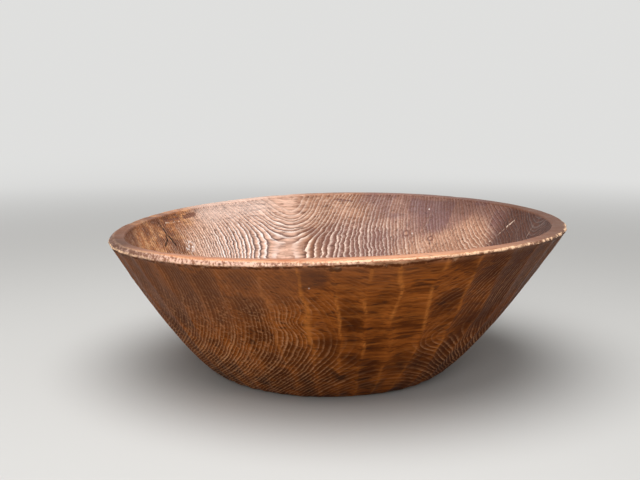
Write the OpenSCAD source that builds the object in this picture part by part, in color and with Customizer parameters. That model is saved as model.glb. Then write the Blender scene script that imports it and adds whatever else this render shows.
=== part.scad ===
// Hand-hewn dough bowl, cut from one half of a log and dried slightly oval.
// X runs along the grain, Y across it and Z up. The origin is the middle of the flat
// foot, in the plane of the table.

/* [Overall size] */
// Length over the rim, along the grain
rim_length = 460; // [340:5:620]
// Width over the rim, across the grain
rim_width = 432; // [320:4:600]
// Height of the rim above the table, midway between its high and low places
rim_height = 151; // [110:1:210]

/* [Rim] */
// Thickness of the wall at the rim, at the two ends of the grain
end_thickness = 16.5; // [10:0.5:24]
// Thickness of the wall at the rim, at the two sides
side_thickness = 15.5; // [10:0.5:24]
// Rise of the rim at the +X end, and drop at the -X end
rim_tilt = 6.4; // [0:0.2:10]
// Drop of both ends below the sides, from the wood's shrinking
rim_saddle = 2.6; // [0:0.2:6]
// Diagonal warp of the rim
rim_twist = 0.9; // [0:0.1:4]
// Rounding of the worn outer edge
outer_edge_round = 4.2; // [1:0.2:6]
// Rounding of the inner edge
inner_edge_round = 2.6; // [1:0.2:4]
// Distance of the rim's middle from the foot's middle, along the grain
rim_offset = 8.6; // [0:0.2:15]

/* [Outside] */
// Length of the flat foot, along the grain
foot_length = 218; // [180:2:240]
// Width of the flat foot, across the grain
foot_width = 204.8; // [160:0.4:230]
// Reach of the rounding between the foot and the wall
foot_round = 20; // [8:1:40]
// Lean of the outside wall at the rim, from upright
outside_lean = 30.6; // [24:0.2:36]

/* [Inside] */
// Thickness of the floor in its middle
floor_thickness = 20; // [12:1:30]
// Lean of the inside wall at the rim, from upright
inside_lean = 29.5; // [26:0.5:36]

/* [Tool marks] */
// Number of gouge flutes round the outside
flute_count = 42; // [24:1:60]
// Depth of a flute below the ridges beside it
flute_depth = 1; // [0.2:0.1:2]

/* [Hidden] */

// Half lengths along the grain of the rim, the foot and the hollow's mouth
rim_radius = rim_length / 2;
foot_radius = foot_length / 2;
inside_radius = rim_radius - end_thickness;

// Width of the rim, the foot and the hollow, each as a share of its own length
rim_oval_share = rim_width / rim_length;
foot_oval_share = foot_width / foot_length;
inside_oval_share = (rim_width - 2 * side_thickness) / (rim_length - 2 * end_thickness);

// How far down the wall its lean at the rim holds, as a share of the height or of the hollow's depth
outside_wall_share = 0.575;
inside_wall_share = 0.75;
// How far out the floor stays level, as a share of the hollow's radius
floor_reach_share = 0.7;
outside_drop = outside_wall_share * rim_height;
inside_drop = inside_wall_share * (rim_height - floor_thickness);

// Facets: across each flute, and up the outside, round each edge and down the inside
facets_per_flute = 3;
outside_rows = 9;
edge_rows = 3;
inside_rows = 11;
segments = flute_count * facets_per_flute;

// Height of the rim in the direction a
function rim_z(a) = rim_height + rim_tilt * cos(a) - rim_saddle * cos(2 * a) + rim_twist * sin(2 * a);

// Depth of the flutes in the direction a, a share of the way u up the wall
function flute(a, u) =
    let (across = a * flute_count / 360 - floor(a * flute_count / 360))
    flute_depth * 4 * across * (1 - across) * sin(180 * u);

// Point a share of the way t along the curve with the four control points p
function curve(p, t) =
    pow(1 - t, 3) * p[0] + 3 * pow(1 - t, 2) * t * p[1] + 3 * (1 - t) * pow(t, 2) * p[2] + pow(t, 3) * p[3];

// Outside wall in the direction a, from the foot to the rim's outer edge, as radius and height
function outside_wall(a) =
    let (top = rim_z(a) - outer_edge_round)
    let (lean_point = [
        rim_radius - outside_drop * tan(outside_lean),
        top - outside_wall_share * top
    ])
    let (controls = [[foot_radius, 0], [foot_radius + foot_round, 0], lean_point, [rim_radius, top]])
    [for (i = [0 : outside_rows]) let (u = i / outside_rows) curve(controls, u) - [flute(a, u), 0]];

// Outer rounding of the rim in the direction a
function outer_edge(a) =
    [for (i = [1 : edge_rows]) let (t = 90 * i / edge_rows)
        [rim_radius - outer_edge_round * (1 - cos(t)), rim_z(a) - outer_edge_round * (1 - sin(t))]];

// Inner rounding of the rim in the direction a
function inner_edge(a) =
    [for (i = [edge_rows : -1 : 0]) let (t = 90 * i / edge_rows)
        [inside_radius + inner_edge_round * (1 - cos(t)), rim_z(a) - inner_edge_round * (1 - sin(t))]];

// Inside wall in the direction a, from below the rim's inner edge to just short of the floor's middle
function inside_wall(a) =
    let (top = rim_z(a) - inner_edge_round)
    let (lean_point = [inside_radius - inside_drop * tan(inside_lean), top - inside_drop])
    let (floor_point = [floor_reach_share * inside_radius, floor_thickness])
    let (controls = [[inside_radius, top], lean_point, floor_point, [0, floor_thickness]])
    [for (i = [1 : inside_rows - 1]) curve(controls, i / inside_rows)];

// How oval the outside is a share of the way up, from the foot's own oval to the rim's
function outside_oval(up) = foot_oval_share + (rim_oval_share - foot_oval_share) * up;

// Point p of an outline in the direction a, placed in space
function placed(p, a, oval) = [p[0] * cos(a) + rim_offset * p[1] / rim_z(a), p[0] * sin(a) * oval, p[1]];

// Section of the bowl in the direction a: the outside up to the rim, then the rim and the inside down
function section(a) = concat(
    [for (p = concat(outside_wall(a), outer_edge(a))) placed(p, a, outside_oval(p[1] / rim_z(a)))],
    [for (p = concat(inner_edge(a), inside_wall(a))) placed(p, a, inside_oval_share)]
);

module bowl() {
    sections = [for (s = [0 : segments - 1]) section(360 * s / segments)];
    rows = len(sections[0]);
    floor_middle = [rim_offset * floor_thickness / rim_height, 0, floor_thickness];
    points = concat([for (s = sections) for (p = s) p], [floor_middle]);
    sides = [for (s = [0 : segments - 1]) for (r = [0 : rows - 2])
        let (next = (s + 1) % segments)
        [s * rows + r, s * rows + r + 1, next * rows + r + 1, next * rows + r]];
    middle = [for (s = [0 : segments - 1])
        [s * rows + rows - 1, segments * rows, (s + 1) % segments * rows + rows - 1]];
    foot = [[for (s = [0 : segments - 1]) s * rows]];
    color("saddlebrown") polyhedron(points, concat(sides, middle, foot), convexity = 4);
}

bowl();
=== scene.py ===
"""Dresses a hand-hewn dough bowl: carves its surface, finishes the wood and sets up a studio."""

import math
from types import SimpleNamespace

import bmesh
import bpy
import numpy as np
from bpy.props import FloatProperty, FloatVectorProperty, IntProperty, PointerProperty
from mathutils import Matrix, Vector


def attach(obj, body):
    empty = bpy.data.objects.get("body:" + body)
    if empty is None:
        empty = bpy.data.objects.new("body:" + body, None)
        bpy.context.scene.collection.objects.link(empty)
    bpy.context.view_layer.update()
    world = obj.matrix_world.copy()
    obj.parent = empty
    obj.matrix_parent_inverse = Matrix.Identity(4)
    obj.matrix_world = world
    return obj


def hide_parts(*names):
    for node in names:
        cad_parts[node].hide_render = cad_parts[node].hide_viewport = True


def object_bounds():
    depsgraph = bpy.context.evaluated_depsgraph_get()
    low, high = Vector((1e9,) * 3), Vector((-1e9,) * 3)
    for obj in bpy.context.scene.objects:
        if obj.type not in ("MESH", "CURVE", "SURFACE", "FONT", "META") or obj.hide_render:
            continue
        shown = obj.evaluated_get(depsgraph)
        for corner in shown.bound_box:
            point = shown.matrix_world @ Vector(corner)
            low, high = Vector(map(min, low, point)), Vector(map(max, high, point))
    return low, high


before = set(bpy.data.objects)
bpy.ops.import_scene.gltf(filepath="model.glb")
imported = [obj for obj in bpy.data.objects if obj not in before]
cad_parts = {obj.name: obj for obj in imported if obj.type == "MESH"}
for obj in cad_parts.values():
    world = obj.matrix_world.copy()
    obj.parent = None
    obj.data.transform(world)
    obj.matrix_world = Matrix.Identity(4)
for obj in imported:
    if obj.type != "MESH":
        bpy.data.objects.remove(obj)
CAD_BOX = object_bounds()

bl_info = {
    "name": "Hand-hewn dough bowl",
    "version": (1, 0, 0),
    "blender": (4, 5, 0),
    "location": "View3D > Sidebar > Dough Bowl",
    "description": "Carves a one-piece wooden dough bowl, finishes its wood and lights it",
    "category": "Object",
}

# Zones along the section of the bowl, counted as `way`: the foot runs from 0 to 1, the outside wall to 2,
# the rim's outer edge to 3, its top to 4, its inner edge to 5, and the hollow to 6 at the middle
FOOT, WALL, OUTER_EDGE, RIM_TOP, INNER_EDGE, HOLLOW = range(6)
MIDDLE = 6.0
# Steps of the section in each zone, the fine steps by which a zone is measured, and how far the last of
# those stays within it
STATIONS = {FOOT: 5, WALL: 58, OUTER_EDGE: 8, RIM_TOP: 7, INNER_EDGE: 6, HOLLOW: 53}
FINE_STEPS = 400
WITHIN_ZONE = 0.999999
# Sections round the bowl, the equal wedges in which they are spun, and how close points are welded
TURNS = 720
WEDGES = 24
WELD = 1e-5

# How far down the wall its lean at the rim holds, as a share of the height or of the hollow's depth,
# and how far out the floor stays level, as a share of the hollow's radius
OUTSIDE_WALL_SHARE = 0.575
INSIDE_WALL_SHARE = 0.75
FLOOR_REACH_SHARE = 0.7
# Direction in which the worn bevel is widest, in degrees from +X, and how round it still is there
WIDE_BEVEL_AT = 205
WIDE_BEVEL_ROUNDNESS = 0.35

# Directions of the ridges between gouge flutes that face the front, in degrees from +X
FRONT_RIDGES = (228.2, 239.0, 247.6, 255.6, 262.6, 270.1, 279.0)
# How unevenly wide flutes and facets are, and after how many cuts their luck repeats
RIDGE_SPREAD = 0.16
CUTS = 16
# Sideways drift of the flutes in degrees for each metre upwards, and the height where they stand true
FLUTE_DRIFT = 36
FLUTES_TRUE_AT = 0.105
# Facets round the hollow, and how strongly their ridges show beside those of the flutes
FACET_COUNT = 46
FACET_RIDGE_SHARE = 0.7
# Seeds of the ridges' directions
FLUTE_SEED = 5
FACET_SEED = 8
# How narrow the ridges and the creases at the ends of cuts are, how strong the creases are beside the
# ridges and how uneven, and how much shallower a cut is at its ends
RIDGE_SHARPNESS = 8
CREASE_SHARPNESS = 12
CREASE_SHARE = 0.45
CREASE_LUCK = 1.5
CUT_END_RISE = 0.30

# Stretches of the way over which each mark of tool or wear shows: its start, the rise to its full depth,
# its end and the fall before that. Handwork shows everywhere past the foot
FLUTED = (WALL, 0.16, OUTER_EDGE + 0.018, 0.03)
FACETED = (HOLLOW, 0.03, HOLLOW + 0.62, 0.3)
CRUMBLED = (OUTER_EDGE - 0.025, 0.02, OUTER_EDGE + 0.75, 0.6)
KNOCKED = (OUTER_EDGE - 0.02, 0.02, HOLLOW + 0.2, 0.2)
HANDWORK_FROM = WALL + 0.02

# Unevenness, in layers of an amount, the size of its bumps in metres and a seed. Marks of a tool have
# their sideways sway in degrees, their shift up and down, and the height of one cut
FLUTE_MARKS = {
    "sway": ((1.3, 0.030, 11), (0.6, 0.012, 12)),
    "shift": ((0.006, 0.02, 13),),
    "tall": 0.026,
    "seed": 21,
}
FACET_MARKS = {
    "sway": ((1.6, 0.035, 31), (0.6, 0.013, 32)),
    "shift": ((0.008, 0.025, 33),),
    "tall": 0.040,
    "seed": 41,
}
# Share by which the flutes' depth varies, the depth that handwork takes off and the rings' waver
FLUTE_DEPTHS = ((0.35, 0.05, 14),)
HANDWORK = ((0.00035, 0.055, 51), (0.00010, 0.012, 52))
RING_WAVER = ((0.0016, 0.070, 71), (0.0007, 0.024, 72))
# Crumbs out of the arris and knocks in the rim, the unevenness above which they start, their depth, and
# how strongly the crumbs show in the finish
CRUMBS = ((1.0, 0.0045, 61), (0.6, 0.010, 62))
KNOCKS = ((1.0, 0.016, 63),)
CRUMBS_FROM = 0.05
KNOCKS_FROM = 0.25
CRUMB_DEPTH = 0.0011
KNOCK_DEPTH = 0.0009
CRUMBS_SHOWN = 1.6

# Least distance of the surface from the sides of the CAD model's box
BOX_MARGIN = 0.00002
# Length of the outside wall, length of the bevel for each metre of its width, and how far from the
# arris its distance is stored
WALL_LENGTH = 0.205
BEVEL_ARC = 1.5
ARRIS_REACH = 0.03

# Course of the log's heart above each half: its rise and its sideways drift for each metre along X, and
# how much the rings are stretched upwards. The halves meet over this reach to either side of Y = 0
FRONT_HEART = (0.091, 0.0, 1.10)
BACK_HEART = (0.220, 0.087, 0.8645)
HEARTS_MEET = 0.05
# Swellings of the growth rings round small knots, which show as eyes: place, size and rise in metres
EYES = (
    ((-0.0739, -0.1653, 0.0891), 0.011, 0.0040),
    ((0.0585, -0.1569, 0.0668), 0.015, -0.0035),
    ((0.2091, 0.0058, 0.1316), 0.009, 0.0040),
    ((0.0110, 0.2046, 0.1243), 0.025, 0.0090),
    ((-0.0283, 0.1473, 0.0817), 0.0315, 0.0075),
)
# How much of the squared distance along X, Y and Z counts for an eye, and how much of each distance for
# the rings' waver: both are long with the grain
EYE_STRETCH = (0.3, 1, 1)
WAVER_STRETCH = (0.4, 1, 1)
# Share of a cut's depth that the rings ignore
RING_CALM = 0.65
# Step over which the slope of the rings is measured
NUDGE = 0.001
# Reach at which the ring width is given, the thinnest ring, and how good and bad years change: grains
# for each metre outwards, and the share of a ring
RING_WIDTH_AT = 0.090
THINNEST_RING = 0.0006
WEATHER_GRAINS = 90.0
WEATHER_SHARE = 0.6

# Values that the carving stores for the finish
STORED = ("way", "ridge", "chip", "from_arris", "cut_tone", "hollowed", "squarely", "reach")
# Noises of the wood: their grains for each metre along X, Y and Z, their detail and their roughness
GRAINS = {
    "fray": ((16.0, 100.0, 100.0), 2.0, 0.5),
    "bundle": ((45.0, 280.0, 280.0), 1.0, 0.5),
    "hair": ((50.0, 430.0, 430.0), 2.0, 0.7),
    "fibre": ((18.0, 230.0, 230.0), 3.0, 0.65),
    "pit": ((55.0, 420.0, 420.0), 1.0, 0.5),
    "pearl": ((75.0, 330.0, 330.0), 1.0, 0.5),
    "tick": ((60.0, 260.0, 260.0), 1.0, 0.5),
    "speck": ((210.0, 400.0, 400.0), 1.0, 0.5),
    "grit": ((110.0, 480.0, 480.0), 1.0, 0.5),
    "soot": ((38.0, 38.0, 50.0), 2.0, 0.5),
    "patch": ((26.0, 26.0, 34.0), 1.0, 0.5),
    "mottle": ((60.0, 90.0, 90.0), 3.0, 0.6),
    "clear": ((9.0, 16.0, 16.0), 3.0, 0.6),
    "blotch": ((20.0, 30.0, 30.0), 4.0, 0.6),
    "cloud": ((6.0, 8.0, 8.0), 3.0, 0.5),
    "crumb": ((300.0, 300.0, 300.0), 2.0, 0.6),
    "nibble": ((190.0, 190.0, 190.0), 2.0, 0.6),
    "hatch": ((480.0, 230.0, 230.0), 2.0, 0.6),
    "notch": ((260.0, 90.0, 90.0), 1.0, 0.5),
}

# Middle of the painted sheen in the hollow, and the paler streak through the purple stain
SHEEN_MIDDLE = (-0.045, 0.165, 0.095)
WASHED_STREAK = ((0.120, 0.118, 0.080), (0.186, 0.068, 0.108))
# Reddish smudge and grey patch in the hollow, and the painted highlight below the rim at the back
SMUDGE = ((0.0270, 0.1786, 0.1124), (0.0412, 0.1706, 0.1021))
GREY_PATCH = (-0.1450, 0.1215, 0.1160)
RIM_HIGHLIGHT = ((-0.105, 0.168, 0.1435), (-0.035, 0.194, 0.1480))
# Forked crack below the rim's inner edge: its fork, and its two lines
CRACK_FORK = (-0.1531, 0.1181, 0.1250)
CRACK = (
    (
        (-0.1617, 0.1180, 0.1380),
        (-0.1562, 0.1188, 0.1305),
        CRACK_FORK,
        (-0.1487, 0.1194, 0.1201),
        (-0.1434, 0.1191, 0.1121),
    ),
    (CRACK_FORK, (-0.1526, 0.1140, 0.1189), (-0.1557, 0.1060, 0.1138)),
)
# Chisel dents below the rim's inner edge, and lines of dirt outside: both ends and reach
DENTS = (
    ((-0.1540, 0.1274, 0.1392), (-0.1355, 0.1443, 0.1384), 0.0019),
    ((-0.1300, 0.1494, 0.1388), (-0.1170, 0.1600, 0.1402), 0.0030),
    ((0.0600, 0.1940, 0.1480), (0.0780, 0.1866, 0.1462), 0.0018),
)
DIRT_LINES = (
    ((-0.0610, -0.2045, 0.1440), (-0.0500, -0.2055, 0.1425), 0.0024),
    ((-0.0383, -0.1394, 0.0345), (-0.0259, -0.1350, 0.0290), 0.0042),
    ((-0.0122, -0.1338, 0.0252), (0.0024, -0.1354, 0.0264), 0.0026),
)
# Scratches in the hollow: both ends, and how strongly they show
SCRATCHES = (
    ((0.1950, 0.0400, 0.1166), (0.2147, 0.0203, 0.1425), 0.65),
    ((-0.1530, 0.1268, 0.1362), (-0.1357, 0.1422, 0.1352), 0.70),
)
# Pin knots, pale flecks, worm specks and smoky patches: middle and reach
PIN_KNOTS = (((0.1315, 0.1349, 0.1130), 0.0040), ((0.1530, 0.1115, 0.1099), 0.0033))
PALE_FLECKS = (
    ((0.1590, 0.1322, 0.1414), 0.0012),
    ((-0.0707, -0.1898, 0.1254), 0.0010),
    ((0.1374, 0.1303, 0.1135), 0.0014),
)
WORM_SPECKS = (
    ((-0.0406, 0.1864, 0.1322), 0.0013),
    ((-0.0484, 0.1758, 0.1155), 0.0020),
    ((-0.0406, 0.1784, 0.1173), 0.0015),
)
SMOKY_PATCHES = (
    ((-0.1260, -0.1665, 0.1320), 0.016),
    ((-0.0580, -0.1713, 0.0896), 0.009),
    ((-0.0696, -0.1954, 0.1340), 0.014),
)
# Middle of a spatter of wax in the hollow
WAX_SPATTER = (-0.1257, 0.1327, 0.1080)
# Middles of short dark dashes below the front rim, and how far each reaches to either side
DARK_DASHES = ((-0.0061, -0.1975, 0.1177), (0.0060, -0.1973, 0.1168), (0.0042, -0.2003, 0.1220))
DASH_REACH = 0.003

# Side view of the paper below and behind the bowl as Y and Z, its reach along X, and its bends
PAPER_LINE = ((-4, -0.0004), (2.2, -0.0004), (3.4, 1.2), (3.4, 5))
PAPER_REACH = 4
PAPER_BEND = 0.5
PAPER_BEND_STEPS = 12
# Point round which the paper turns into backdrop, and how far from it that starts and ends
NEAR_POINT = (0.0, -0.2, 0.0)
BACKDROP_FROM = 0.7
BACKDROP_FULL = 2.3
# Lamps with their place and width, and the point at which they aim
LAMPS = (("top_light", (-0.20, -0.25, 1.38), 1.5), ("front_light", (-0.9, -1.9, 0.8), 1.2))
LAMP_AIM = (0, 0, 0.10)
# Camera: its place, its tilt below level, its roll and its turn from the Y axis
CAMERA_PLACE = (-0.2606, -0.9325, 0.2957)
CAMERA_PITCH = 0.1677
CAMERA_ROLL = 0.0054
CAMERA_TURN = math.radians(15)
SENSOR_WIDTH = 36
CLIP_START = 0.01


def metres(name, description, default, precision=4):
    """A length that the user can change."""
    return FloatProperty(
        name=name, description=description, default=default, precision=precision, unit="LENGTH"
    )


def tilt(name, description, degrees):
    """An angle that the user can change."""
    return FloatProperty(
        name=name, description=description, default=math.radians(degrees), unit="ROTATION"
    )


def tint(name, description, *default):
    """A colour that the user can change, given as linear red, green and blue."""
    return FloatVectorProperty(name=name, description=description, default=default, subtype="COLOR")


class BowlSizes(bpy.types.PropertyGroup):
    """Sizes of the carved bowl."""

    rim_length: metres("Rim length", "Length over the rim, along the grain", 0.460)
    rim_width: metres("Rim width", "Width over the rim, across the grain", 0.432)
    rim_height: metres("Rim height", "Height of the rim midway between high and low", 0.151)
    rim_tilt: metres("Rim tilt", "Rise of the rim at the +X end", 0.0064)
    rim_saddle: metres("Rim saddle", "Drop of both ends below the sides", 0.0026)
    rim_twist: metres("Rim twist", "Diagonal warp of the rim", 0.0009)
    rim_offset: metres("Rim offset", "Distance of the rim's middle from the foot's", 0.0086)
    end_thickness: metres("End thickness", "Thickness of the wall at the grain's ends", 0.0165)
    side_thickness: metres("Side thickness", "Thickness of the wall at the sides", 0.0155)
    foot_length: metres("Foot length", "Length of the flat foot, along the grain", 0.218)
    foot_width: metres("Foot width", "Width of the flat foot, across the grain", 0.2048)
    foot_round: metres("Foot rounding", "Reach of the rounding above the foot", 0.020)
    outside_lean: tilt("Outside lean", "Lean of the outside wall at the rim", 30.6)
    inside_lean: tilt("Inside lean", "Lean of the inside wall at the rim", 29.5)
    floor_thickness: metres("Floor thickness", "Thickness of the floor in its middle", 0.020)
    inner_edge: metres("Inner edge", "Rounding of the rim's inner edge", 0.0026)
    outer_edge: metres("Outer edge", "Least width of the worn outer bevel", 0.0030)
    outer_wear: metres("Outer wear", "Extra width of the bevel where it is worn most", 0.0030)
    flute_count: IntProperty(name="Flutes", description="Number of gouge flutes outside", default=42)
    flute_depth: metres("Flute depth", "Depth of an outside flute", 0.0014)
    facet_depth: metres("Facet depth", "Depth of a tool facet in the hollow", 0.0006)


class WoodFinish(bpy.types.PropertyGroup):
    """Colours and grain of the oiled wood."""

    pith_front: metres("Pith, front", "Height of the log's heart above the front half", 0.1634)
    pith_back: metres("Pith, back", "Height of the log's heart above the back half", 0.1953)
    ring_width: metres("Ring width", "Thickness of a year's growth near the heart", 0.0031, 5)
    ring_slowing: FloatProperty(
        name="Ring slowing",
        description="How much thinner the rings get for each metre outwards",
        default=0.0165,
        precision=5,
    )
    relief: metres("Raised grain", "Height of the late wood above the early wood", 0.00040, 5)

    outside_dark: tint("Outside dark", "Stained early wood outside", 0.088, 0.021, 0.0033)
    outside_light: tint("Outside light", "Body of the wood outside", 0.430, 0.125, 0.0210)
    # Painted sheen: the greyish reflection high on the outside, laid into the colour
    outside_sheen: tint("Outside bloom", "Greyish waxed wood high outside", 0.28, 0.118, 0.060)
    outside_line: tint("Outside line", "Late wood lines outside", 0.78, 0.40, 0.20)
    ridge_colour: tint("Rubbed ridge", "Ridges rubbed back to lighter wood", 0.58, 0.200, 0.042)
    ridge_pink: tint("Ridge, pinkish", "Rubbed ridges towards both ends", 0.38, 0.165, 0.085)
    inside_dark: tint("Inside dark", "Early wood in the hollow", 0.145, 0.058, 0.034)
    inside_light: tint("Inside light", "Body of the wood in the hollow", 0.54, 0.295, 0.190)
    inside_pale: tint("Inside pale", "Palest wood, left of the hollow's middle", 0.89, 0.58, 0.44)
    inside_stain: tint("Inside stain", "Brown clouding of the hollow", 0.33, 0.155, 0.085)
    inside_orange: tint("Inside orange", "Orange wood at the -X end", 0.47, 0.175, 0.055)
    inside_gold: tint("Inside gold", "Golden patches at the -X end", 0.80, 0.41, 0.185)
    # Painted glints: the late wood lines in the hollow are painted near white as their glints
    inside_line_and_glint: tint("Inside line", "Late wood lines in the hollow", 0.98, 0.740, 0.580)
    # Painted sheen: near white for the sheen and highlight in the hollow, also used for pale flecks and
    # spatter
    sheen_and_fleck_white: tint("Inside bloom", "Whitened wax in the hollow's back", 1.0, 0.91, 0.86)
    # Early wood between the lines of the painted sheen
    sheen_groove: tint("Bloom groove", "Early wood between whitened lines", 0.13, 0.078, 0.070)
    bruise_colour: tint("Bruise", "Dark reddish dents below the rim", 0.19, 0.080, 0.055)
    purple_stain: tint("Purple stain", "Dark stain in the +X end", 0.208, 0.114, 0.114)
    # Nearly black: the stain at the +X end, and painted shade below the rim there
    end_stain_and_shade: tint("End stain", "Nearly black stain at the +X end", 0.050, 0.023, 0.019)
    rim_colour: tint("Rim", "Handled top of the rim", 0.64, 0.305, 0.168)
    rim_streak: tint("Rim streak", "Reddish fibres in the rim's top", 0.45, 0.158, 0.066)
    rim_dull: tint("Rim, dull", "Stained top of the rim at both ends", 0.076, 0.041, 0.032)
    bevel_colour: tint("Bevel", "Reddish bevel outside the rim's top", 0.22, 0.098, 0.058)
    bevel_pale: tint("Bevel, pale", "Pinkish torn wood of the bevel", 0.76, 0.49, 0.38)
    # Pale broken wood, and painted highlight along the arris
    worn_and_highlight_colour: tint("Worn arris", "Pale broken wood along the arris", 1.0, 0.66, 0.42)
    crack_colour: tint("Crack", "Dirt in cracks and dents", 0.025, 0.012, 0.008)


class StudioSettings(bpy.types.PropertyGroup):
    """Floor, lamps and camera of the studio."""

    floor_colour: tint("Floor", "Colour of the floor near the bowl", 0.55, 0.545, 0.53)
    bounce_colour: tint("Bounce", "Colour of the light that the floor throws back", 0.30, 0.255, 0.21)
    backdrop_colour: tint("Backdrop", "Colour of the far floor and backdrop", 0.74, 0.74, 0.73)
    top_light: FloatProperty(
        name="Top light", description="Power of the large lamp overhead", default=23.0, unit="POWER"
    )
    front_light: FloatProperty(
        name="Front light", description="Power of the lamp in front", default=13.0, unit="POWER"
    )
    surround: FloatProperty(
        name="Surround", description="Strength of the even light all round", default=0.42
    )
    lens: FloatProperty(
        name="Lens", description="Focal length on a 36 mm sensor, in millimetres", default=54.11
    )


def swing(controls, t):
    """Point t of the way along the curve with four control values, which may be arrays."""
    a, b, c, d = controls
    return (1 - t) ** 3 * a + 3 * (1 - t) ** 2 * t * b + 3 * (1 - t) * t**2 * c + t**3 * d


def smooth(value, low, high):
    """Goes smoothly from 0 to 1 as value goes from low to high."""
    share = np.clip((value - low) / (high - low), 0, 1)
    return share * share * (3 - 2 * share)


def rim_level(turn, sizes):
    """Height of the rim in the direction `turn`."""
    return (
        sizes.rim_height
        + sizes.rim_tilt * np.cos(turn)
        - sizes.rim_saddle * np.cos(2 * turn)
        + sizes.rim_twist * np.sin(2 * turn)
    )


def bevel_wear(turn):
    """How worn the rim's outer edge is, from 0 to 1 where its bevel is widest."""
    return (0.5 + 0.5 * np.cos(turn - math.radians(WIDE_BEVEL_AT))) ** 3


def bevel_width(turn, sizes):
    """Width of the worn bevel on the rim's outer edge."""
    return sizes.outer_edge + sizes.outer_wear * bevel_wear(turn)


def section(way, turn, sizes):
    """Radius, height and ovalness of the bowl's section at each way and turn."""
    rim = sizes.rim_length / 2
    foot = sizes.foot_length / 2
    mouth = rim - sizes.end_thickness
    level = rim_level(turn, sizes)
    bevel = bevel_width(turn, sizes)
    zone = np.minimum(np.floor(way), HOLLOW).astype(int)
    t = way - zone
    quarter = t * math.pi / 2

    top = level - bevel
    lean_radius = rim - OUTSIDE_WALL_SHARE * sizes.rim_height * math.tan(sizes.outside_lean)
    wall = (
        swing((foot, foot + sizes.foot_round, lean_radius, rim), t),
        swing((0, 0, (1 - OUTSIDE_WALL_SHARE) * top, top), t),
    )
    round_share = 1 - (1 - WIDE_BEVEL_ROUNDNESS) * bevel_wear(turn)
    outer = (
        rim - bevel * (round_share * (1 - np.cos(quarter)) + (1 - round_share) * t),
        level - bevel * (round_share * (1 - np.sin(quarter)) + (1 - round_share) * (1 - t)),
    )
    shelf = (rim - bevel + t * (mouth + sizes.inner_edge - rim + bevel), level)
    inner = (
        mouth + sizes.inner_edge * (1 - np.sin(quarter)),
        level - sizes.inner_edge * (1 - np.cos(quarter)),
    )
    inner_top = level - sizes.inner_edge
    drop = INSIDE_WALL_SHARE * (sizes.rim_height - sizes.floor_thickness)
    lean_radius = mouth - drop * math.tan(sizes.inside_lean)
    hollow = (
        swing((mouth, lean_radius, FLOOR_REACH_SHARE * mouth, 0), t),
        swing((inner_top, inner_top - drop, sizes.floor_thickness, sizes.floor_thickness), t),
    )
    parts = ((foot * t, 0 * t), wall, outer, shelf, inner, hollow)
    radius = np.choose(zone, [np.broadcast_to(part[0], way.shape) for part in parts])
    height = np.choose(zone, [np.broadcast_to(part[1], way.shape) for part in parts])

    foot_oval = sizes.foot_width / sizes.foot_length
    rim_oval = sizes.rim_width / sizes.rim_length
    mouth_width = sizes.rim_width - 2 * sizes.side_thickness
    mouth_oval = mouth_width / (sizes.rim_length - 2 * sizes.end_thickness)
    oval = foot_oval + (rim_oval - foot_oval) * height / level
    oval = oval + (mouth_oval - oval) * np.clip(way - RIM_TOP, 0, 1)
    return radius, height, oval


def placed(way, turn, sizes):
    """Places of the section's points in space, as an array of rows."""
    radius, height, oval = section(way, turn, sizes)
    lean = sizes.rim_offset * height / rim_level(turn, sizes)
    return np.stack([radius * np.cos(turn) + lean, radius * np.sin(turn) * oval, height], axis=-1)


def wander(places, size, seed):
    """Smooth unevenness from -1 to 1 over the places, with bumps about `size` across."""
    side = 24
    table = np.random.default_rng(seed).uniform(-1, 1, (side, side, side))
    spot = places / size
    cell = np.floor(spot).astype(int)
    part = spot - cell
    part = part * part * (3 - 2 * part)
    total = np.zeros(len(places))
    for corner in np.ndindex(2, 2, 2):
        index = (cell + corner) % side
        share = np.prod(np.where(corner, part, 1 - part), axis=1)
        total += share * table[index[:, 0], index[:, 1], index[:, 2]]
    return total


def unevenness(places, layers):
    """Sum of the layers of unevenness over the places."""
    return sum(amount * wander(places, size, seed) for amount, size, seed in layers)


def ridge_directions(count, seed, fixed=()):
    """Directions of `count` ridges all round, in degrees, that keep the fixed ones and vary between."""
    start = fixed[-1] if fixed else 0.0
    end = fixed[0] + 360 if fixed else 360.0
    gaps = count - len(fixed) + 1 if fixed else count
    widths = 1 + RIDGE_SPREAD * np.random.default_rng(seed).uniform(-1, 1, gaps)
    rest = start + np.cumsum(widths) / widths.sum() * (end - start)
    return np.sort(np.concatenate([np.array(fixed), rest[:-1] if fixed else rest]) % 360)


def tool_cuts(places, angle, ridges, marks):
    """Cuts of a round-nosed tool, one below the other between ridges.

    Gives the depth of the cut from 0 at a ridge to 1, how near the ridge is, and a tone for each cut."""
    angle = (angle + unevenness(places, marks["sway"])) % 360
    height = places[:, 2] + unevenness(places, marks["shift"])
    edges = np.concatenate([[ridges[-1] - 360], ridges, [ridges[0] + 360]])
    column = np.searchsorted(edges, angle, side="right") - 1
    across = 2 * (angle - edges[column]) / (edges[column + 1] - edges[column]) - 1
    column = column % len(ridges)
    dice = np.random.default_rng(marks["seed"])
    start = dice.uniform(0, 1, len(ridges))[column]
    row = height / marks["tall"] + start
    down = 2 * (row - np.floor(row)) - 1
    end_of_cut = np.floor(row + 0.5).astype(int) % CUTS
    crease = dice.uniform(0, 1, (len(ridges), CUTS))[column, end_of_cut] ** CREASE_LUCK
    tone = dice.uniform(0, 1, (len(ridges), CUTS))[column, np.floor(row).astype(int) % CUTS]
    depth = (1 - across**2) * (1 - CUT_END_RISE * down**4)
    crease = CREASE_SHARE * crease * np.abs(down) ** CREASE_SHARPNESS
    near = np.maximum(np.abs(across) ** RIDGE_SHARPNESS, crease)
    return depth, near, tone


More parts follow.
